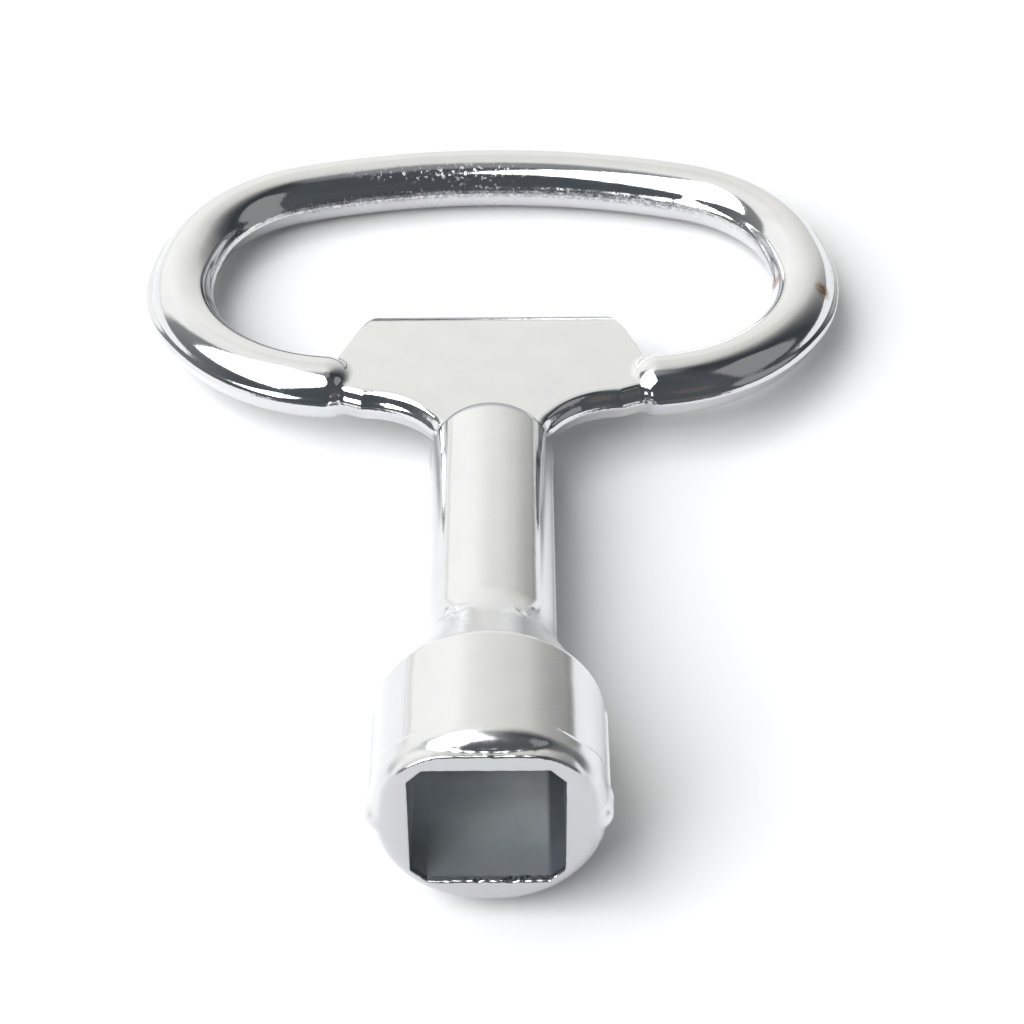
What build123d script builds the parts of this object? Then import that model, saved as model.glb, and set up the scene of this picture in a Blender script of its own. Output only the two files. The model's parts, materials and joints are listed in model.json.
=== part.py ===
from build123d import *
import os
from math import asin, atan2, cos, hypot, radians, sin, sqrt, tan

# Radiator bleed key with a square socket: one zinc die casting, chrome plated.
# The casting is divided where its shape changes, into four solids that meet
# face to face: socket_head, shank, bow_web and bow_loop. Millimetres, +Z up.
# The key lies as it does on a table, on the back rim of its head and the far
# bar of its bow, so its axis runs along Y and dips towards the bow.
# Distances called "reach" are measured along the axis from the head's face.

# ---- Driving dimensions ----
square_size = 8.0           # across the flats of the socket
square_chamfer = 0.8        # the socket's corners are cut off this far each way
socket_depth = 8.0
socket_offset = -0.15       # the socket's core sits a little to the -X side

head_diameter = 12.1
head_rim_radius = 1.2       # rounded front rim
head_back_radius = 0.3      # softened edge behind the head
head_ridge_height = 0.15    # mould parting ridge along both sides

neck_root_radius = 1.5      # hollow behind the head
neck_root_drop = 0.74       # from the head's side down to where the flare starts
neck_slope = 21.0           # degrees, the straight flare
neck_run_out = 6.5          # radius of the hollow where the flare meets the shank
neck_reach = 14.7

shank_diameter = 7.1
shank_reach = 31.05         # the shank ends in an arch on both faces of the web
shank_end_radius = 1.0

web_thickness = 2.2
web_far_reach = 42.9        # straight far edge of the web
web_near_reach = 34.35      # near edge, in line with the near side of the bow
web_far_half_width = 7.5
web_side_half_width = 9.55  # where the sloping sides run into the bow's ends
web_corner_radius = 0.6
web_sweep_start = 7.9       # X where the near edge starts to sweep to the shank
web_sweep_radius = 5.1
web_sweep_turn = 50.0       # degrees
web_sweep_run = 0.5         # straight run between the sweep's two bends
web_root_radius = 2.0       # the second bend brings the edge into the shank
web_foot_reach = 28.8       # inside the shank, so the plate meets it all round
web_lap = 1.5               # half the width of the plate's ends, inside the bar

bar_diameter = 3.8
bow_far_reach = 60.0        # middle of the bar at the top of the bow
bow_arcs = [                # radius and turn of the bow's arcs, from the top
    (44.0, 17.0),
    (9.8, 58.0),
    (18.0, 8.0),
    (10.9, 97.0),
]
bow_end_dome = 0.55         # height of the domed ends that stand on the web

ridge_height = 0.3          # mould parting ridge round the outside of the bow
ridge_width = 0.45

# ---- Derived values ----
head_radius = head_diameter / 2
shank_radius = shank_diameter / 2
bar_radius = bar_diameter / 2
dome_radius = (bar_radius**2 + bow_end_dome**2) / (2 * bow_end_dome)

# The flare runs straight between two hollows, so its ends follow from them.
slope = radians(neck_slope)
flare_end_reach = neck_reach - neck_run_out * sin(slope)
flare_end_radius = shank_radius + neck_run_out * (1 - cos(slope))
flare_start_radius = head_radius - neck_root_drop
flare_length = (flare_start_radius - flare_end_radius) / tan(slope)
flare_start_reach = flare_end_reach - flare_length
# The hollow behind the head is an arc about a point outside the head's side.
hollow_reach = flare_start_reach + neck_root_radius * sin(slope)
hollow_lift = neck_root_radius * cos(slope) - neck_root_drop
head_length = hollow_reach - sqrt(neck_root_radius**2 - hollow_lift**2)

# The table touches two round edges, one behind the head and one under the
# bow, and is the common tangent below their two circles.
heel_gap = neck_root_radius + head_back_radius
heel_reach = hollow_reach - sqrt(heel_gap**2 - (hollow_lift + head_back_radius) ** 2)
heel_drop = head_radius - head_back_radius
heel_to_bow = hypot(bow_far_reach - heel_reach, heel_drop)
lean = asin((bar_radius - head_back_radius) / heel_to_bow)
tilt = atan2(heel_drop, bow_far_reach - heel_reach) - lean

face_height = head_back_radius + heel_reach * sin(tilt) + heel_drop * cos(tilt)

# The origin is under the middle of the key's length.
rim_drop = head_radius - head_rim_radius
front_y = head_rim_radius * cos(tilt) - rim_drop * sin(tilt) - head_rim_radius
bow_outside = bow_far_reach + bar_radius + ridge_height
back_y = bow_outside * cos(tilt) + ridge_width / 2 * sin(tilt)
face_y = -(front_y + back_y) / 2

# ---- Working planes ----
# key_plane is the bow's middle plane: X across, Y along the axis to the bow.
key_plane = Plane(
    origin=(0, face_y, face_height),
    x_dir=(1, 0, 0),
    z_dir=(0, sin(tilt), cos(tilt)),
)
along = key_plane.y_dir
# lathe_plane holds the axis: X along it, Y outwards, for turned profiles.
lathe_plane = Plane(origin=key_plane.origin, x_dir=along, z_dir=key_plane.x_dir)
key_axis = Axis(key_plane.origin, along)


def cross_plane(reach):
    """The plane across the axis at a reach, facing out of the socket."""
    origin = key_plane.origin + along * reach
    return Plane(origin=origin, x_dir=key_plane.x_dir, z_dir=-along)


# ---- Head, with the neck that flares out of the shank ----
with BuildPart() as socket_head:
    with BuildSketch(lathe_plane):
        with BuildLine():
            face = Line((0, 0), (0, rim_drop))
            rim = JernArc(face @ 1, (0, 1), head_rim_radius, -90)
            side = Line(rim @ 1, (head_length, head_radius))
            flare_start = (flare_start_reach, flare_start_radius)
            flare_end = (flare_end_reach, flare_end_radius)
            RadiusArc(side @ 1, flare_start, -neck_root_radius)
            Line(flare_start, flare_end)
            RadiusArc(flare_end, (neck_reach, shank_radius), -neck_run_out)
            end = Line((neck_reach, shank_radius), (neck_reach, 0))
            Line(end @ 1, face @ 0)
        make_face()
        back_rim = vertices().group_by(Axis.Y)[-1].sort_by(Axis.X)[-1]
        fillet(back_rim, head_back_radius)
    revolve(axis=key_axis)
    # The parting ridge stands out along both sides of the head.
    with BuildSketch(cross_plane(head_rim_radius / 2)):
        with Locations((head_radius, 0), (-head_radius, 0)):
            Rectangle(2 * head_ridge_height, ridge_width)
    extrude(amount=-(heel_reach - head_rim_radius / 2))
    with BuildSketch(cross_plane(0)):
        with Locations((socket_offset, 0)):
            Rectangle(square_size, square_size)
        chamfer(vertices(), square_chamfer)
    extrude(amount=-socket_depth, mode=Mode.SUBTRACT)
socket_head.part.label = "socket_head"

# ---- Shank, round, with a rounded end that stands proud of the web ----
with BuildPart() as shank:
    with BuildSketch(cross_plane(neck_reach)):
        Circle(shank_radius)
    extrude(amount=-(shank_reach - neck_reach))
    shank_end = edges().filter_by(GeomType.CIRCLE).sort_by(key_axis)[-1]
    fillet(shank_end, shank_end_radius)
shank.part.label = "shank"

# ---- Bow: a round bar bent into an oval, open where the web fills it ----
bow_top = key_plane.origin + along * bow_far_reach
bow_section = Plane(origin=bow_top, x_dir=along, z_dir=key_plane.x_dir)

with BuildPart() as bow_loop:
    with BuildLine(key_plane) as bow_path:
        last = JernArc((0, bow_far_reach), (1, 0), bow_arcs[0][0], -bow_arcs[0][1])
        for arc_radius, arc_turn in bow_arcs[1:]:
            last = JernArc(last @ 1, last % 1, arc_radius, -arc_turn)
    with BuildSketch(bow_section):
        Circle(bar_radius)
        with Locations((bar_radius, 0)):
            Rectangle(2 * ridge_height, ridge_width)
    sweep(path=bow_path.line)
    # A low dome closes the bar where it ends on the web.
    bow_end = last @ 1
    end_section = Plane(origin=bow_end, x_dir=last % 1, z_dir=key_plane.z_dir)
    with BuildSketch(end_section):
        with BuildLine():
            radius_line = Line((0, 0), (0, bar_radius))
            dome = RadiusArc(radius_line @ 1, (bow_end_dome, 0), dome_radius)
            Line(dome @ 1, radius_line @ 0)
        make_face()
    revolve(axis=Axis(bow_end, last % 1))
    mirror(about=Plane.YZ)
bow_loop.part.label = "bow_loop"
bow_near_reach = key_plane.to_local_coords(bow_end).Y

# ---- Web: the flat plate between the bow's ends and the shank ----
with BuildPart() as bow_web:
    with BuildSketch(key_plane.offset(-web_thickness / 2)):
        with BuildLine():
            far_corner = (web_far_half_width, web_far_reach)
            far_edge = Line((0, web_far_reach), far_corner)
            slope_end = (web_side_half_width, bow_near_reach + web_lap)
            slope = Line(far_edge @ 1, slope_end)
            lap = Line(slope @ 1, (web_side_half_width, bow_near_reach - web_lap))
            near_edge = Line(lap @ 1, (web_sweep_start, web_near_reach))
            bend = JernArc(near_edge @ 1, (-1, 0), web_sweep_radius, web_sweep_turn)
            straight = PolarLine(bend @ 1, web_sweep_run, direction=bend % 1)
            root_turn = 90 - web_sweep_turn
            root = JernArc(straight @ 1, straight % 1, web_root_radius, root_turn)
            foot = Line(root @ 1, ((root @ 1).X, web_foot_reach))
            base = Line(foot @ 1, (0, web_foot_reach))
            Line(base @ 1, far_edge @ 0)
        make_face()
        mirror(about=Plane.YZ)
        fillet(vertices().group_by(Axis.Y)[-1], web_corner_radius)
    extrude(amount=web_thickness)
    add(shank.part, mode=Mode.SUBTRACT)
    add(bow_loop.part, mode=Mode.SUBTRACT)
bow_web.part.label = "bow_web"

# ---- One file for each piece ----
os.makedirs("parts", exist_ok=True)
for piece in (socket_head, shank, bow_web, bow_loop):
    export_step(piece.part, f"parts/{piece.part.label}.step")
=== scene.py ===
# Radiator bleed key: one zinc die casting with bright chrome plating, lying on
# a white table. The surface is worked out as a distance field from the key's
# own dimensions, meshed finely, and divided where its shape changes.
import json
import math

import bmesh
import bpy
import numpy as np
import openvdb
from mathutils import Matrix, Vector


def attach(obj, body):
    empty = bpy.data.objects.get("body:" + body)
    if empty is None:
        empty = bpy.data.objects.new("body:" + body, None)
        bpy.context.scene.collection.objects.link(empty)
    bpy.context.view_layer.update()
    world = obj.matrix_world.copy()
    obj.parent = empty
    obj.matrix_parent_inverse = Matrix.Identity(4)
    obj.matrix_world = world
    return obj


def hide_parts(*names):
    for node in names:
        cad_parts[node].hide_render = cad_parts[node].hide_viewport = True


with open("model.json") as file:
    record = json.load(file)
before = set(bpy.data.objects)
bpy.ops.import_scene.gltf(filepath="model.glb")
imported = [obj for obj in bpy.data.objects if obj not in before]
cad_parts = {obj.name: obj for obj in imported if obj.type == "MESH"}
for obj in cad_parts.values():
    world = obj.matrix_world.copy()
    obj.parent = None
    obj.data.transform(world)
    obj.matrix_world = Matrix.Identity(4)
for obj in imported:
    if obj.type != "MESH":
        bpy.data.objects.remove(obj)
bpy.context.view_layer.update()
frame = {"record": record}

# ---- Dimensions of the key, in millimetres ----
HEAD_RADIUS = 6.05
HEAD_RIM = 1.05
PAD = 5.2  # half the width of the raised pad round the socket
PAD_CORNER = 3.2
PAD_RISE = 0.3
PAD_LENGTH = 2.0
NUB = 0.38  # bump at the front end of the head's ridges
NUB_START = 0.9
NUB_END = 2.0
HEAD_BACK = 0.3
NECK_ROOT = 1.5  # hollow behind the head
NECK_ROOT_LIFT = 0.44  # how far the hollow's middle stands in from the head's side
NECK_TURN = math.radians(25.0)  # slope of the flare
NECK_RADIUS = 6.5  # hollow where the flare runs out into the shank
NECK_REACH = 14.35
SHANK_RADIUS = 3.55
SHANK_REACH = 31.05
SHANK_END = 1.0
SOCKET = 7.9
SOCKET_CHAMFER = 0.8
SOCKET_DEPTH = 8.0
SOCKET_OFFSET = -0.1
SOCKET_RAISE = 0.18
SOCKET_LIP = 0.13
WEB_THICKNESS = 2.2
WEB_FAR = 43.1
WEB_NEAR = 34.35
WEB_FAR_HALF = 7.5
WEB_SIDE_HALF = 9.55
WEB_CORNER = 0.6
WEB_LAP = 1.5
WEB_DRAFT = 0.44  # how far the near sides lean out, per millimetre down
WEB_WEAR = 0.55  # how far the far edge has been polished down
WEB_WEAR_REACH = 2.2
WEB_SWEEP_X = 7.9
WEB_SWEEP = 5.1
WEB_SWEEP_TURN = 50.0
WEB_RUN = 0.5
WEB_ROOT = 2.0
WEB_FOOT = 28.8
BAR = 1.9
BOW_FAR = 60.0
BOW_ARCS = ((44.0, 17.0), (9.8, 58.0), (18.0, 8.0), (10.9, 97.0))
BOW_DOME = 0.55
BOW_END_ROUND = 0.8
DRAFT = math.radians(25.0)  # slope of the sides down to the parting line
CREASE = 0.05  # rounding where the drafted sides meet
RIDGE = 0.12  # parting ridge round the outside of the bow
RIDGE_WIDTH = 0.6
RIDGE_RISE = 0.1  # the mould parts a little above the middle
HEAD_RIDGE = 0.15
BODY_RIDGE = 0.03  # the same ridge along the neck and shank
NO_RIDGE = -0.15  # low enough for the ridge to stay inside the casting

# The casting is divided at these places, along the axis and across it.
CUT_NECK = 14.7
CUT_SHANK = 31.3
CUT_WEB = 46.3
CUT_SIDE = 9.35

# Two knocks on top of the neck: middle across and along, and half their size.
KNOCKS = ((-2.0, 12.6, 0.9, 0.35), (1.5, 12.3, 0.5, 0.3))

# Small brown stains in the plating: where, and how wide.
STAINS = (
    ((18.0, 46.6, 0.6), 0.85),
    ((20.9, 44.5, 1.35), 0.85),
    ((-17.9, 44.4, 0.9), 0.85),
)

# Unevenness of the plated surface: height, size of the bumps, and seed.
WAVE = (0.006, 2.6, 1)
RIPPLE = (0.0025, 1.1, 2)
FLASH = (0.016, 0.8, 3)  # left along the parting line
FLASH_GRAIN = (0.010, 0.38, 4)
KNOCK = (0.12, 0.42, 5)
LIP_BURR = (0.08, 0.3, 6)  # round the socket's mouth
PAD_BURR = (0.03, 0.35, 7)  # on the upper edge of the pad

VOXEL = 0.13  # fineness of the mesh

# ---- Colours ----
CHROME_DIM = (0.705, 0.715, 0.73)
CHROME_BRIGHT = (0.735, 0.74, 0.745)
BROWN_STAIN = (0.33, 0.20, 0.12)
ARCH_REFLECTION_SHADE = (0.37, 0.40, 0.455)  # painted dark reflection along the line where the shank ends on the web
SEAM_GREY = (0.33, 0.345, 0.36)
FACE_GREY = (0.5, 0.51, 0.52)  # the flat ring round the socket
SOCKET_SHADE_COLOURS = (  # painted shade, dark at the mouth and light towards the bottom
    (0.0, (0.15, 0.168, 0.178)),
    (0.25, (0.27, 0.30, 0.31)),
    (0.5, (0.50, 0.54, 0.555)),
    (0.85, (0.84, 0.87, 0.885)),
)
# Painted shade on the socket's +X wall.
SOCKET_WALL_SHADE = (0.05, 0.06, 0.07)
SOCKET_MOTTLE = (0.16, 0.18, 0.21)
TABLE_WHITE = (0.825, 0.83, 0.84)

# ---- Light ----
SOFTBOX_LEVEL = 4.5
SOFTBOX_DISTANCE = 0.8
SOFTBOX_WIDTH = 1.175  # in distances, like its height
SOFTBOX_HEIGHT = 1.14
SOFTBOX_LEAN = math.radians(7)
PLATE_LEVEL = 0.73  # how much of the room's light the plating gives back
# The room, clockwise from the bow's side as seen from above: degrees, how grey
# the plating looks that mirrors it, and how warm it is.
ROOM = (
    (-180, 0.29, -0.12),
    (-150, 0.30, -0.12),
    (-120, 0.30, -0.10),
    (-76, 0.45, -0.03),
    (-64, 0.50, 0.0),
    (-58, 0.92, 0.03),
    (-30, 0.945, 0.04),
    (-8, 0.90, 0.045),
    (12, 0.85, 0.045),
    (30, 0.76, 0.05),
    (40, 0.62, 0.05),
    (50, 0.47, 0.03),
    (60, 0.34, -0.04),
    (72, 0.24, -0.14),
    (90, 0.25, -0.12),
    (140, 0.31, -0.08),
    (180, 0.29, -0.12),
)
ROOM_BROWN = (0.15, 0.132, 0.127)
TABLE_BEYOND = (0.9, 0.91, 0.93)  # the table past the part that is modelled

# ---- The key's own frame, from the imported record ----
# X across the bow, Y along the axis from the head's face, Z across the web.
mounts = {m["name"]: m for m in frame["record"]["mounts"]}
along = -Vector(mounts["socket_face"]["axis"]).normalized()
across = Vector((1.0, 0.0, 0.0))
face = Vector(mounts["square_socket"]["pos_m"])
face.x = 0.0  # the mount follows the socket's core, which sits to one side
normal = across.cross(along)
key_to_world = Matrix.Translation(face) @ Matrix(
    (across, along, normal)
).transposed().to_4x4() @ Matrix.Scale(0.001, 4)


# ---- Distance field ----
def smooth_union(a, b, radius):
    """Two solids joined with a hollow fillet of this radius."""
    corner = np.hypot(np.maximum(radius - a, 0), np.maximum(radius - b, 0))
    return np.maximum(radius, np.minimum(a, b)) - corner


def smooth_cut(a, b, radius):
    """Where two solids overlap, its edges rounded to this radius."""
    corner = np.hypot(np.maximum(radius + a, 0), np.maximum(radius + b, 0))
    return np.minimum(-radius, np.maximum(a, b)) + corner


def bow_centre():
    """The bow's arcs from the middle of the far bar: centre, radius, headings."""
    x, y, heading = 0.0, BOW_FAR, 0.0
    arcs = []
    for radius, turn in BOW_ARCS:
        cx = x + radius * math.sin(heading)
        cy = y - radius * math.cos(heading)
        end = heading - math.radians(turn)
        arcs.append((cx, cy, radius, heading, end))
        x = cx - radius * math.sin(end)
        y = cy + radius * math.cos(end)
        heading = end
    return arcs, (x, y)


ARCS, (END_X, END_Y) = bow_centre()


def bow_line(x, y):
    """Distance to the bow's centre line, and which side: above 0 is outside."""
    near = y > 31.0
    distance = BAR + 34.0 - y
    side = np.ones(x.shape)
    distance[near], side[near] = arcs_line(x[near], y[near])
    return distance, side


def arcs_line(x, y):
    nearest = np.full(x.shape, 1e9)
    side = np.zeros(x.shape)
    for cx, cy, radius, start, end in ARCS:
        heading = np.arctan2(cx - x, y - cy)
        slack = math.pi - (start - end) / 2
        heading = np.where(heading > start + slack, heading - 2 * math.pi, heading)
        heading = np.where(heading < end - slack, heading + 2 * math.pi, heading)
        heading = np.clip(heading, end, start)
        px = cx - radius * np.sin(heading)
        py = cy + radius * np.cos(heading)
        distance = np.hypot(x - px, y - py)
        closer = distance < nearest
        nearest = np.where(closer, distance, nearest)
        side = np.where(closer, np.hypot(x - cx, y - cy) - radius, side)
    return nearest, side


def web_outline():
    """Half of the web's outline, from the middle of its far edge to its foot."""
    points = [Vector((0, WEB_FAR))]
    corner = Vector((WEB_FAR_HALF, WEB_FAR))
    slope_end = Vector((WEB_SIDE_HALF, END_Y + WEB_LAP))
    slope = (slope_end - corner).normalized()
    turn = math.acos(slope.x)
    back = WEB_CORNER * math.tan(turn / 2)
    centre = corner + Vector((-back, -WEB_CORNER))
    for i in range(9):
        angle = turn * i / 8
        step = Vector((math.sin(angle), math.cos(angle)))
        points.append(centre + WEB_CORNER * step)
    points.append(slope_end)
    points.append(Vector((WEB_SIDE_HALF, END_Y - WEB_LAP)))
    at, heading = Vector((WEB_SWEEP_X, WEB_NEAR)), math.pi
    points.append(at.copy())

    def bend(at, heading, radius, turn):
        sign = math.copysign(1, turn)
        left = Vector((-math.sin(heading), math.cos(heading))) * sign
        centre = at + left * radius
        for i in range(1, 13):
            angle = math.radians(turn) * i / 12
            c, s = math.cos(angle), math.sin(angle)
            arm = -left * radius
            swung = Vector((c * arm.x - s * arm.y, s * arm.x + c * arm.y))
            points.append(centre + swung)
        return points[-1].copy(), heading + math.radians(turn)

    at, heading = bend(at, heading, WEB_SWEEP, WEB_SWEEP_TURN)
    at = at + WEB_RUN * Vector((math.cos(heading), math.sin(heading)))
    points.append(at.copy())
    at, heading = bend(at, heading, WEB_ROOT, 90 - WEB_SWEEP_TURN)
    points.append(Vector((at.x, WEB_FOOT)))
    points.append(Vector((0, WEB_FOOT)))
    return points


OUTLINE = web_outline()


def web_plan(x, y):
    """Signed distance to the web's outline, seen from above."""
    beyond = np.maximum(np.maximum(y - WEB_FAR, WEB_FOOT - y), x - WEB_SIDE_HALF)
    near = beyond < 1.5
    beyond[near] = outline_distance(x[near], y[near])
    return beyond


def outline_distance(x, y):
    nearest = np.full(x.shape, 1e9)
    inside = np.zeros(x.shape, bool)
    for a, b in zip(OUTLINE[:-1], OUTLINE[1:]):
        run = b - a
        if run.length < 1e-6:
            continue
        t = np.clip(((x - a.x) * run.x + (y - a.y) * run.y) / run.length_squared, 0, 1)
        gap = np.hypot(x - a.x - t * run.x, y - a.y - t * run.y)
        nearest = np.minimum(nearest, gap)
        if abs(run.y) > 1e-9:
            crosses = (a.y > y) != (b.y > y)
            inside ^= crosses & (x < a.x + (y - a.y) * run.x / run.y)
    return np.where(inside, -nearest, nearest)


def flare_points():
    """Where the flare behind the head starts and ends, along and outwards."""
    thin_y = NECK_REACH - NECK_RADIUS * math.sin(NECK_TURN)
    thin_r = SHANK_RADIUS + NECK_RADIUS * (1 - math.cos(NECK_TURN))
    root_r = HEAD_RADIUS - NECK_ROOT * (math.cos(NECK_TURN) - NECK_ROOT_LIFT)
    root_y = thin_y - (root_r - thin_r) / math.tan(NECK_TURN)
    return thin_y, thin_r, root_y, root_r


def turned(x, y, z):
    """The head, the flare behind it and the shank, all turned about the axis."""
    r = np.hypot(x, z)
    thin_y, thin_r, root_y, root_r = flare_points()
    c, s = math.cos(NECK_TURN), math.sin(NECK_TURN)
    root = NECK_ROOT - np.hypot(y - root_y - NECK_ROOT * s, r - root_r - NECK_ROOT * c)
    cone = (r - thin_r) * c + (y - thin_y) * s
    thin = NECK_RADIUS - np.hypot(y - NECK_REACH, r - SHANK_RADIUS - NECK_RADIUS)
    past_root = (r - root_r) * s - (y - root_y) * c > 0
    past_thin = (r - thin_r) * s - (y - thin_y) * c > 0
    side = np.where(y < NECK_REACH, thin, r - SHANK_RADIUS)
    side = np.where(past_thin, cone, side)
    side = np.where(past_root, root, side)
    head = smooth_cut(r - HEAD_RADIUS, PAD_RISE - y, HEAD_RIM)
    # A pad stands proud round the socket, square above and faired in below.
    below = 1 - ramp(z, 2.4, 4.6)
    corner = np.where(z > 0, PAD_CORNER, PAD - 0.2)
    flat = PAD - corner
    pad = np.hypot(np.maximum(np.abs(x) - flat, 0), np.maximum(np.abs(z) - flat, 0))
    pad = smooth_cut(np.maximum(pad - corner, y - PAD_LENGTH), -y, 0.12 + 0.5 * below)
    head = smooth_union(head, pad, 0.15 + 0.75 * below)
    shank = smooth_cut(side, y - SHANK_REACH, SHANK_END)
    return smooth_cut(head, shank, HEAD_BACK)


def section(u, z):
    """The bar's section: round, with sides that draft out to the parting line."""
    z = np.sqrt(z**2 + CREASE**2)
    drafted = math.cos(DRAFT) * u + math.sin(DRAFT) * z - BAR
    return np.where(z < u * math.tan(DRAFT), drafted, np.hypot(u, z) - BAR)


def bow(x, y, z):
    """The bow's bar with its domed ends, and the side of its centre line."""
    distance, side = bow_line(x, y)
    near_end = (y < END_Y + 4) & (x < END_X + 2)
    distance = np.where(near_end & (x < END_X), np.abs(y - END_Y), distance)
    dome = (BAR**2 + BOW_DOME**2) / (2 * BOW_DOME)
    past = np.minimum(x - END_X + BOW_DOME - dome, 0)
    cap = np.sqrt(past**2 + (y - END_Y) ** 2 + z**2) - dome
    cap = np.where(near_end, cap, -BAR)
    return smooth_cut(section(distance, z), cap, BOW_END_ROUND), side


def web(x, y, z):
    """The plate, with drafted near sides and a worn, falling far edge."""
    z = np.abs(z)
    plan = web_plan(x, y)
    near = ramp(y, 37.8, 35.8)
    draft = WEB_DRAFT * near
    side = (plan + draft * (z - 0.3)) / np.sqrt(1 + draft**2)
    fall = np.clip((y - WEB_FAR + WEB_WEAR_REACH) / WEB_WEAR_REACH, 0, 1.2)
    top = z - WEB_THICKNESS / 2 + WEB_WEAR * fall * fall
    return smooth_cut(side, top, 0.2 + 0.04 * near)


def casting(x, y, z):
    """The whole key without its ridges and socket."""
    half = np.abs(x)
    bar, side = bow(half, y, z)
    plate = smooth_union(turned(x, y, z), web(half, y, z), 0.45)
    return smooth_union(plate, bar, 0.3), side


def socket_section(x, z):
    """Signed distance to the socket's square with its chamfered corners."""
    qx = np.abs(x - SOCKET_OFFSET) - SOCKET / 2
    qz = np.abs(z - SOCKET_RAISE) - SOCKET / 2
    return np.maximum(np.maximum(qx, qz), (qx + qz + SOCKET_CHAMFER) / math.sqrt(2))


def socket(x, y, z):
    return np.maximum(socket_section(x, z), y - SOCKET_DEPTH)


def ramp(value, start, end):
    t = np.clip((value - start) / (end - start), 0, 1)
    return t * t * (3 - 2 * t)


def lattice(i, j, k, seed):
    """A number from -1 to 1 for each whole-numbered place, always the same."""
    h = i * 374761393 + j * 668265263 + k * 2147483647 + seed * 1274126177
    h = h & 0xFFFFFFFF
    h = ((h ^ (h >> 13)) * 1274126177) & 0xFFFFFFFF
    h = ((h ^ (h >> 16)) * 2246822519) & 0xFFFFFFFF
    return ((h ^ (h >> 15)) & 0xFFFF) / 32767.5 - 1.0


def noise(p, size, seed):
    """Smooth noise from -1 to 1 whose bumps are about size millimetres across."""
    q = p / size
    cell = np.floor(q)
    f = q - cell
    f = f * f * f * (f * (f * 6 - 15) + 10)
    cell = cell.astype(np.int64)
    total = 0.0
    for dx in (0, 1):
        for dy in (0, 1):
            for dz in (0, 1):
                wx = f[:, 0] if dx else 1 - f[:, 0]
                wy = f[:, 1] if dy else 1 - f[:, 1]
                wz = f[:, 2] if dz else 1 - f[:, 2]
                total = total + wx * wy * wz * lattice(
                    cell[:, 0] + dx, cell[:, 1] + dy, cell[:, 2] + dz, seed
                )
    return total


def field(x, y, z):
    """Signed distance to the key, with its parting ridges and socket."""
    half = np.abs(x)
    solid, side = casting(x, y, z)
    plan, _ = casting(x, y, z * 0)
    height = np.where(side > 0, (RIDGE - NO_RIDGE) * ramp(y, 39, 44), 0) + NO_RIDGE
    body = BODY_RIDGE - (BODY_RIDGE - NO_RIDGE) * ramp(y, 31, 32)
    height = np.where(y < 33, body, height)
    height = height + (HEAD_RIDGE - BODY_RIDGE) * ramp(y, 9.3, 7.8) * ramp(y, 1.5, 2.5)
    rise = RIDGE_RISE * ramp(y, 31, 33)
    ridge = smooth_cut(plan - height, np.abs(z - rise) - RIDGE_WIDTH / 2, 0.2)
    ridge = np.maximum(ridge, 1.0 - y)
    solid = smooth_union(solid, ridge, 0.18)
    beyond = y - np.clip(y, NUB_START, NUB_END)
    nub = np.sqrt((half - HEAD_RADIUS + 0.25) ** 2 + beyond**2 + z**2) - NUB
    solid = smooth_union(solid, nub, 0.6)
    return smooth_cut(solid, -socket(x, y, z), SOCKET_LIP)


def bumps(p, kind, amount=1.0):
    """One kind of unevenness, as much of it as there is at each place."""
    height, size, seed = kind
    return height * amount * noise(p, size, seed)


def finish(p):
    """How far the plated surface stands off the plain one, in millimetres."""
    x, y, z = p.T
    wave = bumps(p, WAVE) + bumps(p, RIPPLE)
    seam = np.exp(-(((z - RIDGE_RISE) / 0.5) ** 2)) * (ramp(y, 33, 35) + 0.1)
    flash = bumps(p, FLASH) + bumps(p, FLASH_GRAIN)
    # Most of it is left on the inner side of the far bar.
    far = ramp(y, 53, 56) * ramp(y, 59.5, 58.5)
    flash = flash * (0.12 + 0.25 * ramp(y, 40, 48) + 1.1 * far)
    knock = np.zeros(len(p))
    for cx, cy, wide, long in KNOCKS:
        knock += np.exp(-(((x - cx) / wide) ** 2) - ((y - cy) / long) ** 2) * (z > 0)
    mouth = socket_section(x, z)
    lip = np.exp(-((mouth / 0.22) ** 2) - (y / 0.35) ** 2)
    lip = lip * (0.25 + ramp(z, -3.2, -3.8)) * np.exp(-((x / 3.9) ** 8))
    edge = np.exp(-(((z - PAD) / 0.35) ** 2) - (x / 3.2) ** 6) * (y < 1)
    burr = bumps(p, LIP_BURR, lip) + bumps(p, PAD_BURR, edge)
    return wave + seam * flash + bumps(p, KNOCK, knock) + burr


def surface(p):
    return field(p[:, 0], p[:, 1], p[:, 2]) - finish(p)


def slope_at(p, step):
    """Which way and how fast the distance grows, at each point."""
    slope = np.empty_like(p)
    for axis in range(3):
        ahead, behind = p.copy(), p.copy()
        ahead[:, axis] += step
        behind[:, axis] -= step
        slope[:, axis] = (surface(ahead) - surface(behind)) / (2 * step)
    return slope


# ---- Meshing ----
def spread(values, factor):
    """Linear interpolation of a grid to one factor times as fine."""
    for axis in range(3):
        values = np.moveaxis(values, axis, 0)
        weights = (np.arange(factor) / factor)[None, :, None, None]
        fine = values[:-1, None] * (1 - weights) + values[1:, None] * weights
        values = np.concatenate([fine.reshape(-1, *values.shape[1:]), values[-1:]])
        values = np.moveaxis(values, 0, axis)
    return values


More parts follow.
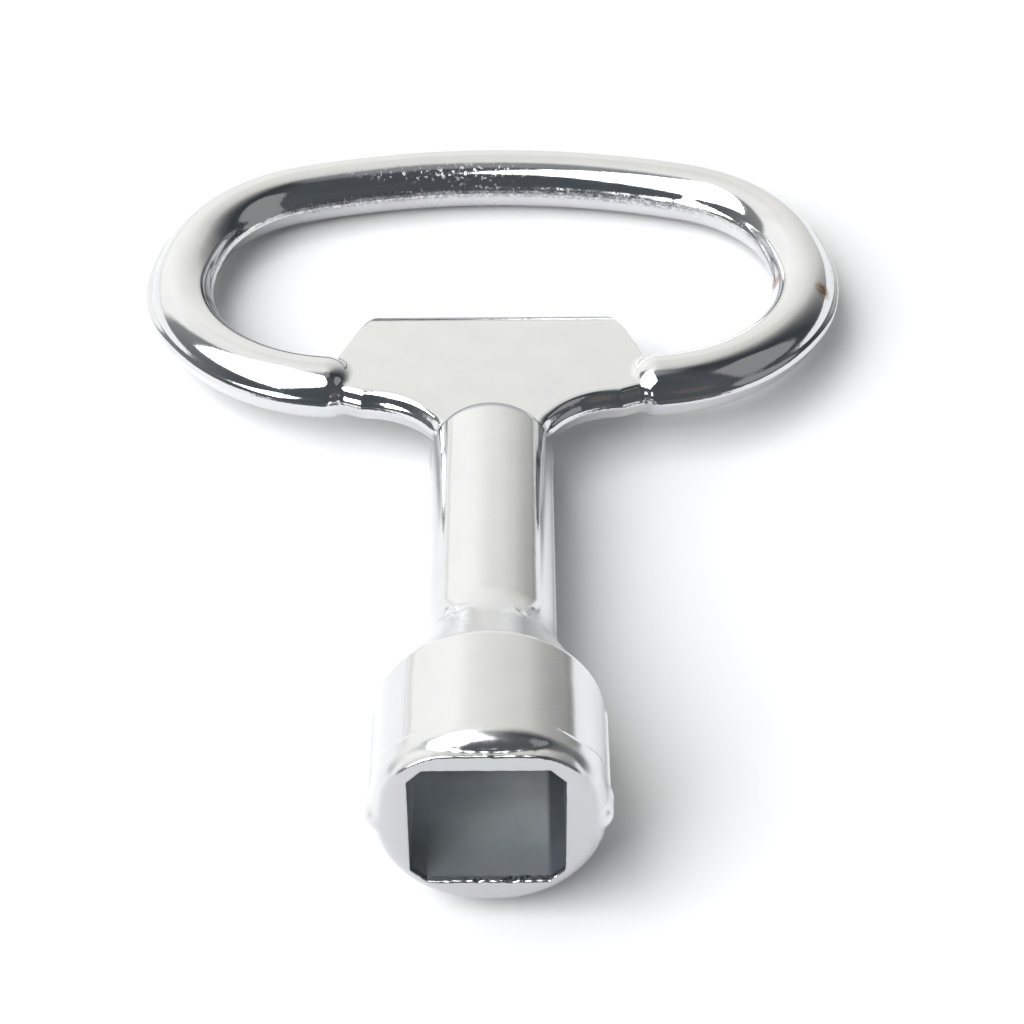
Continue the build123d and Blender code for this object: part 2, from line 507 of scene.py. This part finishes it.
def surface_points():
    """The surface as points and quads: the plain field is meshed on a grid, then
    each point moves down the slope until it lies on the plated surface."""
    factor = 4
    low = np.array((-23.0, -1.2, -7.0))
    high = np.array((23.0, 63.0, 7.0))
    counts = np.ceil((high - low) / (VOXEL * factor)).astype(int) + 1
    lines = [low[i] + VOXEL * factor * np.arange(counts[i]) for i in range(3)]
    gx, gy, gz = np.meshgrid(*lines, indexing="ij")
    coarse = field(gx.ravel(), gy.ravel(), gz.ravel()).reshape(gx.shape)
    grid = spread(coarse.astype(np.float32), factor)
    # Near the surface the field is worked out again, at full fineness.
    band = np.argwhere(np.abs(grid) < 0.8)
    p = low + band * VOXEL
    grid[band[:, 0], band[:, 1], band[:, 2]] = field(p[:, 0], p[:, 1], p[:, 2])
    volume = openvdb.FloatGrid(2.0)
    volume.copyFromArray(np.ascontiguousarray(grid, dtype=np.float32))
    points, quads = volume.convertToQuads(isovalue=0)
    points = low + np.asarray(points, float) * VOXEL
    quads = np.asarray(quads, int)
    for _ in range(3):
        slope = slope_at(points, 0.01)
        size = np.maximum((slope**2).sum(1), 0.25)
        step = np.clip(surface(points) / size, -VOXEL, VOXEL)
        points = points - slope * step[:, None]
    return points, quads


def key_mesh():
    """The whole key as one mesh whose faces look outwards."""
    points, quads = surface_points()
    a, b, c = (points[quads[:, i]] for i in range(3))
    facing = np.cross(b - a, c - a)
    outward = slope_at(points[quads].mean(1), 0.02)
    if (facing * outward).sum() < 0:
        quads = quads[:, ::-1]
    mesh = bpy.data.meshes.new("key")
    mesh.from_pydata(points.tolist(), [], quads.tolist())
    return mesh


def divide(mesh):
    """The key's four regions, each a closed mesh, meeting face to face."""
    whole = bmesh.new()
    whole.from_mesh(mesh)

    def cut(co, no, keep):
        chosen = {f for f in whole.faces if keep(f.calc_center_median())}
        edges = {e for f in chosen for e in f.edges}
        verts = {v for f in chosen for v in f.verts}
        bmesh.ops.bisect_plane(
            whole, geom=[*verts, *edges, *chosen], dist=1e-5, plane_co=co, plane_no=no
        )

    for reach in (CUT_NECK, CUT_SHANK):
        cut((0, reach, 0), (0, 1, 0), lambda c: abs(c.y - reach) < 1 and abs(c.x) < 8)
    for side in (-CUT_SIDE, CUT_SIDE):
        cut((side, 0, 0), (1, 0, 0), lambda c: abs(c.x - side) < 1 and c.y < CUT_WEB)

    def region(c):
        if abs(c.x) > CUT_SIDE or c.y > CUT_WEB:
            return "bow_loop"
        if c.y > CUT_SHANK:
            return "bow_web"
        return "shank" if c.y > CUT_NECK else "socket_head"

    owner = [region(f.calc_center_median()) for f in whole.faces]
    pieces = {}
    for name in ("socket_head", "shank", "bow_web", "bow_loop"):
        piece = whole.copy()
        piece.faces.ensure_lookup_table()
        others = [f for f, o in zip(piece.faces, owner) if o != name]
        bmesh.ops.delete(piece, geom=others, context="FACES")
        outer = len(piece.faces)
        rim = [e for e in piece.edges if e.is_boundary]
        caps = bmesh.ops.holes_fill(piece, edges=rim, sides=0)["faces"]
        bmesh.ops.triangulate(piece, faces=caps, ngon_method="BEAUTY")
        pieces[name] = (piece, outer)
    whole.free()
    return pieces


def shade(obj, outer):
    """Smooth normals from the distance field, and flat ones on the joints."""
    mesh = obj.data
    count = len(mesh.loops)
    corner = np.empty(count, np.int32)
    mesh.loops.foreach_get("vertex_index", corner)
    co = np.empty(len(mesh.vertices) * 3)
    mesh.vertices.foreach_get("co", co)
    slope = slope_at(co.reshape(-1, 3), 0.02)
    slope /= np.linalg.norm(slope, axis=1)[:, None]
    normals = slope[corner]
    for index in range(outer, len(mesh.polygons)):
        polygon = mesh.polygons[index]
        for loop in polygon.loop_indices:
            normals[loop] = polygon.normal
    mesh.shade_smooth()
    mesh.normals_split_custom_set(normals.tolist())


# ---- Node helpers ----
def add(tree, kind, *values, **settings):
    """A node with its settings, its inputs set or linked in order or by name."""
    node = tree.nodes.new(kind)
    inputs = settings.pop("inputs", {})
    for name, value in settings.items():
        setattr(node, name, value)
    for key, value in [*enumerate(values), *inputs.items()]:
        if value is None:
            continue
        if isinstance(value, bpy.types.NodeSocket):
            tree.links.new(value, node.inputs[key])
        else:
            node.inputs[key].default_value = value
    return node


def calc(tree, operation, *values):
    return add(tree, "ShaderNodeMath", *values, operation=operation).outputs[0]


def fade(tree, value, start, end):
    """0 at start and 1 at end, smooth between."""
    node = add(tree, "ShaderNodeMapRange", value, start, end, 0.0, 1.0)
    node.interpolation_type = "SMOOTHSTEP"
    return node.outputs[0]


def colours(tree, value, *stops):
    node = add(tree, "ShaderNodeValToRGB", value)
    elements = node.color_ramp.elements
    while len(elements) < len(stops):
        elements.new(0.5)
    for element, (position, colour) in zip(elements, stops):
        element.position = position
        element.color = (*colour, 1.0)
    return node.outputs[0]


def blend(tree, factor, a, b, mode="MIX"):
    node = tree.nodes.new("ShaderNodeMix")
    node.data_type = "RGBA"
    node.blend_type = mode
    for key, value in ((0, factor), (6, a), (7, b)):
        if isinstance(value, bpy.types.NodeSocket):
            tree.links.new(value, node.inputs[key])
        elif key == 0:
            node.inputs[key].default_value = value
        else:
            node.inputs[key].default_value = (*value, 1.0)
    return node.outputs[2]


# ---- Materials ----
def key_coordinates(tree):
    """The place in the key's own frame, in millimetres: x, y along, z."""
    where = add(tree, "ShaderNodeTexCoord").outputs["Object"]
    offset = add(
        tree, "ShaderNodeVectorMath", where, tuple(face), operation="SUBTRACT"
    ).outputs[0]
    axes = []
    for axis in (across, along, normal):
        reach = add(
            tree, "ShaderNodeVectorMath", offset, tuple(axis), operation="DOT_PRODUCT"
        ).outputs["Value"]
        axes.append(calc(tree, "MULTIPLY", reach, 1000.0))
    return where, axes


def grain(tree, where, size, detail=3.0):
    """Noise from 0 to 1 with bumps of this size in millimetres."""
    inputs = {"Vector": where, "Scale": 1000.0 / size, "Detail": detail}
    return add(tree, "ShaderNodeTexNoise", inputs=inputs).outputs[0]


def closeness(tree, axes, place, radius):
    """1 at a place on the key, falling to 0 at a radius from it."""
    gap = add(tree, "ShaderNodeCombineXYZ", *axes).outputs[0]
    far = add(
        tree, "ShaderNodeVectorMath", gap, place, operation="DISTANCE"
    ).outputs["Value"]
    return fade(tree, far, radius, 0.25 * radius)


def new_material(name):
    material = bpy.data.materials.new(name)
    material.use_nodes = True
    material.node_tree.nodes.clear()
    return material


def metal(tree, bump, **inputs):
    """The shader, with a bump given as its strength, distance and height."""
    strength, distance, height = bump
    settings = {"Strength": strength, "Distance": distance, "Height": height}
    inputs["Normal"] = add(tree, "ShaderNodeBump", inputs=settings).outputs[0]
    inputs["Base Color"] = inputs.pop("Colour")
    shader = add(tree, "ShaderNodeBsdfPrincipled", inputs=inputs)
    add(tree, "ShaderNodeOutputMaterial", shader.outputs[0])


def chrome_material():
    material = new_material("chrome_plate")
    tree = material.node_tree
    where, (x, y, z) = key_coordinates(tree)
    patches = grain(tree, where, 2.4, 5.0)
    fine = grain(tree, where, 0.19)
    coarse = grain(tree, where, 0.26, 4.0)

    # The front of the head and the parting line are polished less than the rest.
    front = fade(tree, y, 1.8, 1.3)
    neck = fade(tree, calc(tree, "ABSOLUTE", calc(tree, "SUBTRACT", y, 11.0)), 2.6, 1.8)
    # A painted dark reflection along the shank's rounded end, where it meets the web.
    arch_shade = calc(tree, "ABSOLUTE", calc(tree, "SUBTRACT", y, SHANK_REACH - 0.4))
    arch_shade = calc(tree, "MULTIPLY", fade(tree, arch_shade, 0.75, 0.35), fade(tree, z, 1.2, 1.6))
    drop = calc(tree, "ABSOLUTE", calc(tree, "SUBTRACT", z, RIDGE_RISE))
    seam = fade(tree, drop, 0.55, 0.2)
    seam = calc(tree, "MULTIPLY", seam, fade(tree, y, 32.0, 34.0))
    inner = calc(tree, "MULTIPLY", fade(tree, y, 57.5, 58.2), fade(tree, y, 59.5, 58.9))
    inner = calc(tree, "MULTIPLY", inner, fade(tree, x, 4.0, -1.0))
    pitted = calc(tree, "MULTIPLY", seam, fade(tree, y, 40.0, 50.0))
    pitted = calc(tree, "MAXIMUM", pitted, inner)
    pitted = calc(tree, "MULTIPLY", pitted, fade(tree, coarse, 0.54, 0.66))

    # The seam inside the far bar is left rough and grey.
    far = calc(tree, "MULTIPLY", fade(tree, y, 52.0, 55.0), fade(tree, y, 59.4, 58.8))
    far = calc(tree, "MULTIPLY", far, fade(tree, calc(tree, "ABSOLUTE", x), 15.0, 12.0))
    far = calc(tree, "MULTIPLY", far, seam)

    colour = colours(tree, patches, (0.3, CHROME_DIM), (0.7, CHROME_BRIGHT))
    rough = calc(tree, "MULTIPLY_ADD", patches, 0.07, 0.05)
    for place, radius in STAINS:
        stain_and_shade = closeness(tree, (x, y, z), place, radius)
        stain_and_shade = calc(tree, "MULTIPLY", stain_and_shade, fade(tree, fine, 0.3, 0.5))
        colour = blend(tree, stain_and_shade, colour, BROWN_STAIN)
    colour = blend(tree, arch_shade, colour, ARCH_REFLECTION_SHADE)
    dull = calc(tree, "MULTIPLY", far, fade(tree, coarse, 0.38, 0.55))
    dull = calc(tree, "MULTIPLY", dull, 0.75)
    colour = blend(tree, dull, colour, SEAM_GREY)
    flat = calc(tree, "MULTIPLY", fade(tree, y, 0.5, 0.1), 0.78)
    colour = blend(tree, flat, colour, FACE_GREY)
    rough = calc(tree, "MULTIPLY_ADD", front, 0.13, rough)
    rough = calc(tree, "MULTIPLY_ADD", neck, 0.18, rough)
    rough = calc(tree, "MULTIPLY_ADD", pitted, 0.25, rough)
    rough = calc(tree, "MULTIPLY_ADD", far, 0.12, rough)
    height = calc(tree, "MULTIPLY_ADD", pitted, 1.0, fine)
    metal(tree, (0.3, 0.00001, height), Colour=colour, Metallic=1.0, Roughness=rough)
    return material


def socket_material():
    material = new_material("socket_zinc")
    tree = material.node_tree
    where, (x, y, _) = key_coordinates(tree)
    patches = grain(tree, where, 2.0, 6.0)
    # Painted shade: the socket is darker at its mouth and lighter towards its bottom,
    # with a dark band of painted shade on its +X side.
    depth = calc(tree, "MULTIPLY", y, 1 / SOCKET_DEPTH)
    colour = colours(tree, depth, *SOCKET_SHADE_COLOURS)
    # A dark band of painted shade on the socket's +X wall.
    stain_and_shade = calc(tree, "MULTIPLY", fade(tree, x, 2.9, 3.2), 0.88)
    colour = blend(tree, stain_and_shade, colour, SOCKET_WALL_SHADE)
    mottle = calc(tree, "MULTIPLY", fade(tree, patches, 0.6, 0.35), 0.15)
    colour = blend(tree, mottle, colour, SOCKET_MOTTLE)
    rough = calc(tree, "MULTIPLY_ADD", patches, 0.3, 0.4)
    metal(tree, (0.5, 0.00005, patches), Colour=colour, Metallic=0.1, Roughness=rough)
    return material


def build_key():
    chrome, zinc = chrome_material(), socket_material()
    for name, (piece, outer) in divide(key_mesh()).items():
        mesh = bpy.data.meshes.new(name + "_casting")
        piece.to_mesh(mesh)
        piece.free()
        obj = bpy.data.objects.new(name + "_casting", mesh)
        bpy.context.scene.collection.objects.link(obj)
        mesh.materials.append(chrome)
        if name == "socket_head":
            mesh.materials.append(zinc)
            for polygon in mesh.polygons:
                c = polygon.center
                deep = c.y > 0.3 and c.y < SOCKET_DEPTH + 0.1
                wide = abs(c.x - SOCKET_OFFSET) < SOCKET / 2 + 0.04
                if deep and wide and abs(c.z - SOCKET_RAISE) < SOCKET / 2 + 0.04:
                    polygon.material_index = 1
        shade(obj, outer)
        mesh.transform(key_to_world)
        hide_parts(name)
        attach(obj, "root")


# ---- The table ----
def build_floor():
    mesh = bpy.data.meshes.new("table")
    size = 0.08
    corners = [(-size, -size, 0), (size, -size, 0), (size, size, 0), (-size, size, 0)]
    mesh.from_pydata(corners, [], [(0, 1, 2, 3)])
    table = bpy.data.objects.new("table", mesh)
    bpy.context.scene.collection.objects.link(table)
    material = bpy.data.materials.new("table_white")
    material.use_nodes = True
    shader = material.node_tree.nodes["Principled BSDF"]
    shader.inputs["Base Color"].default_value = (*TABLE_WHITE, 1)
    shader.inputs["Roughness"].default_value = 0.9
    shader.inputs["Specular IOR Level"].default_value = 0.1
    mesh.materials.append(material)


# ---- Studio: a softbox on the left, a pale backdrop, a dim room on the right ----
def build_studio():
    world = bpy.data.worlds.new("studio")
    bpy.context.scene.world = world
    world.use_nodes = True
    tree = world.node_tree
    tree.nodes.clear()
    direction = add(tree, "ShaderNodeTexCoord").outputs["Generated"]
    x, y, z = add(tree, "ShaderNodeSeparateXYZ", direction).outputs
    azimuth = calc(tree, "DEGREES", calc(tree, "ARCTAN2", x, y))
    height = calc(tree, "DEGREES", calc(tree, "ARCSINE", z))

    def grey(seen, warm=0.0):
        """The room's light for the plating to look this grey, from 0 to 1."""
        g = seen**2.2 / PLATE_LEVEL
        red = min(warm, 0.25 * warm)
        return (g * (1 + red), g, g * (1 - warm))

    def offset(value, middle, half):
        """How far a direction is from a patch's middle, 1 at its edge."""
        return calc(tree, "DIVIDE", calc(tree, "SUBTRACT", value, middle), half)

    ring = colours(
        tree,
        calc(tree, "MULTIPLY_ADD", azimuth, 1 / 360, 0.5),
        *(((degrees + 180) / 360, grey(v, warm)) for degrees, v, warm in ROOM),
    )
    upward = calc(tree, "MULTIPLY_ADD", fade(tree, height, 32.0, 38.5), -0.1, 1.03)
    upward = add(tree, "ShaderNodeCombineXYZ", upward, upward, upward).outputs[0]
    ring = blend(tree, 1.0, ring, upward, "MULTIPLY")
    # A grey panel with rounded corners on the right.
    du = calc(tree, "ABSOLUTE", offset(azimuth, 104.0, 22.0))
    dv = calc(tree, "ABSOLUTE", offset(height, 30.0, 25.0))
    du4 = calc(tree, "POWER", du, 4.0)
    dv4 = calc(tree, "POWER", dv, 4.0)
    panel = fade(tree, calc(tree, "ADD", du4, dv4), 1.2, 0.75)
    ring = blend(tree, panel, ring, grey(0.515, -0.01))
    zenith = fade(tree, height, 72.0, 84.0)
    ring = blend(tree, zenith, ring, grey(0.52, -0.03))
    # Something low and brown beside the camera.
    brown_u = offset(azimuth, 153.0, 17.0)
    brown_v = offset(height, 9.0, 8.0)
    brown = add(tree, "ShaderNodeCombineXYZ", brown_u, brown_v, 0.0).outputs[0]
    brown = add(tree, "ShaderNodeVectorMath", brown, operation="LENGTH")
    brown = fade(tree, brown.outputs["Value"], 1.2, 0.7)
    ring = blend(tree, brown, ring, ROOM_BROWN)
    # The white table runs on below the horizon and meets the room softly.
    table = fade(tree, height, -1.0, -8.0)
    ring = blend(tree, table, ring, TABLE_BEYOND)
    horizon = fade(tree, calc(tree, "ABSOLUTE", height), 3.5, 0.3)
    ring = blend(tree, calc(tree, "MULTIPLY", horizon, 0.22), ring, grey(0.40, -0.06))

    seen = add(tree, "ShaderNodeBackground", ring, 1.0).outputs[0]
    white = add(tree, "ShaderNodeBackground", (1.0, 1.0, 1.0, 1.0), 1.1).outputs[0]
    camera_ray = add(tree, "ShaderNodeLightPath").outputs["Is Camera Ray"]
    mixed = add(tree, "ShaderNodeMixShader", camera_ray, seen, white).outputs[0]
    add(tree, "ShaderNodeOutputWorld", mixed)


def build_softbox():
    """A large soft light high on the left, a little towards the camera's side."""
    centre = Vector((-0.587, -0.312, 0.747)).normalized()
    right = Vector((-0.469, 0.883, 0.0)).normalized()
    up = right.cross(centre)
    c, s = math.cos(SOFTBOX_LEAN), math.sin(SOFTBOX_LEAN)
    side = right * c + up * s
    rise = up * c - right * s
    data = bpy.data.lights.new("softbox", "AREA")
    data.shape = "RECTANGLE"
    data.size = SOFTBOX_WIDTH * SOFTBOX_DISTANCE
    data.size_y = SOFTBOX_HEIGHT * SOFTBOX_DISTANCE
    data.energy = SOFTBOX_LEVEL * math.pi * data.size * data.size_y
    light = bpy.data.objects.new("softbox", data)
    bpy.context.scene.collection.objects.link(light)
    place = SOFTBOX_DISTANCE * (centre + 0.0125 * right + 0.02 * up)
    facing = Matrix((-side, rise, rise.cross(side))).transposed()
    light.matrix_world = Matrix.Translation(place) @ facing.to_4x4()
    light.visible_camera = False


# ---- Camera, at the photograph's angle ----
def build_camera():
    data = bpy.data.cameras.new("camera")
    data.sensor_width = 36.0
    data.lens = 88.96
    data.clip_start = 0.005
    data.clip_end = 20.0
    camera = bpy.data.objects.new("camera", data)
    bpy.context.scene.collection.objects.link(camera)
    # In the key's own frame: millimetres from the middle of the face, radians.
    place = Vector((1.536, -86.605, 94.191))
    elevation, azimuth, roll = 0.70252, 0.0030216, -0.0080820
    toward = Vector(
        (
            math.sin(azimuth) * math.cos(elevation),
            -math.cos(azimuth) * math.cos(elevation),
            math.sin(elevation),
        )
    )
    right = Vector((0, 0, 1)).cross(toward).normalized()
    up = toward.cross(right)
    c, s = math.cos(roll), math.sin(roll)
    axes = Matrix((right * c + up * s, up * c - right * s, toward)).transposed()
    turn = Matrix((across, along, normal)).transposed()
    shift = Matrix.Translation(key_to_world @ place)
    camera.matrix_world = shift @ (turn @ axes).to_4x4()
    bpy.context.scene.camera = camera


build_key()
build_floor()
build_studio()
build_softbox()
build_camera()
scene = bpy.context.scene
scene.view_settings.view_transform = "Standard"
scene.view_settings.look = "None"
scene.cycles.max_bounces = 12
scene.cycles.glossy_bounces = 8
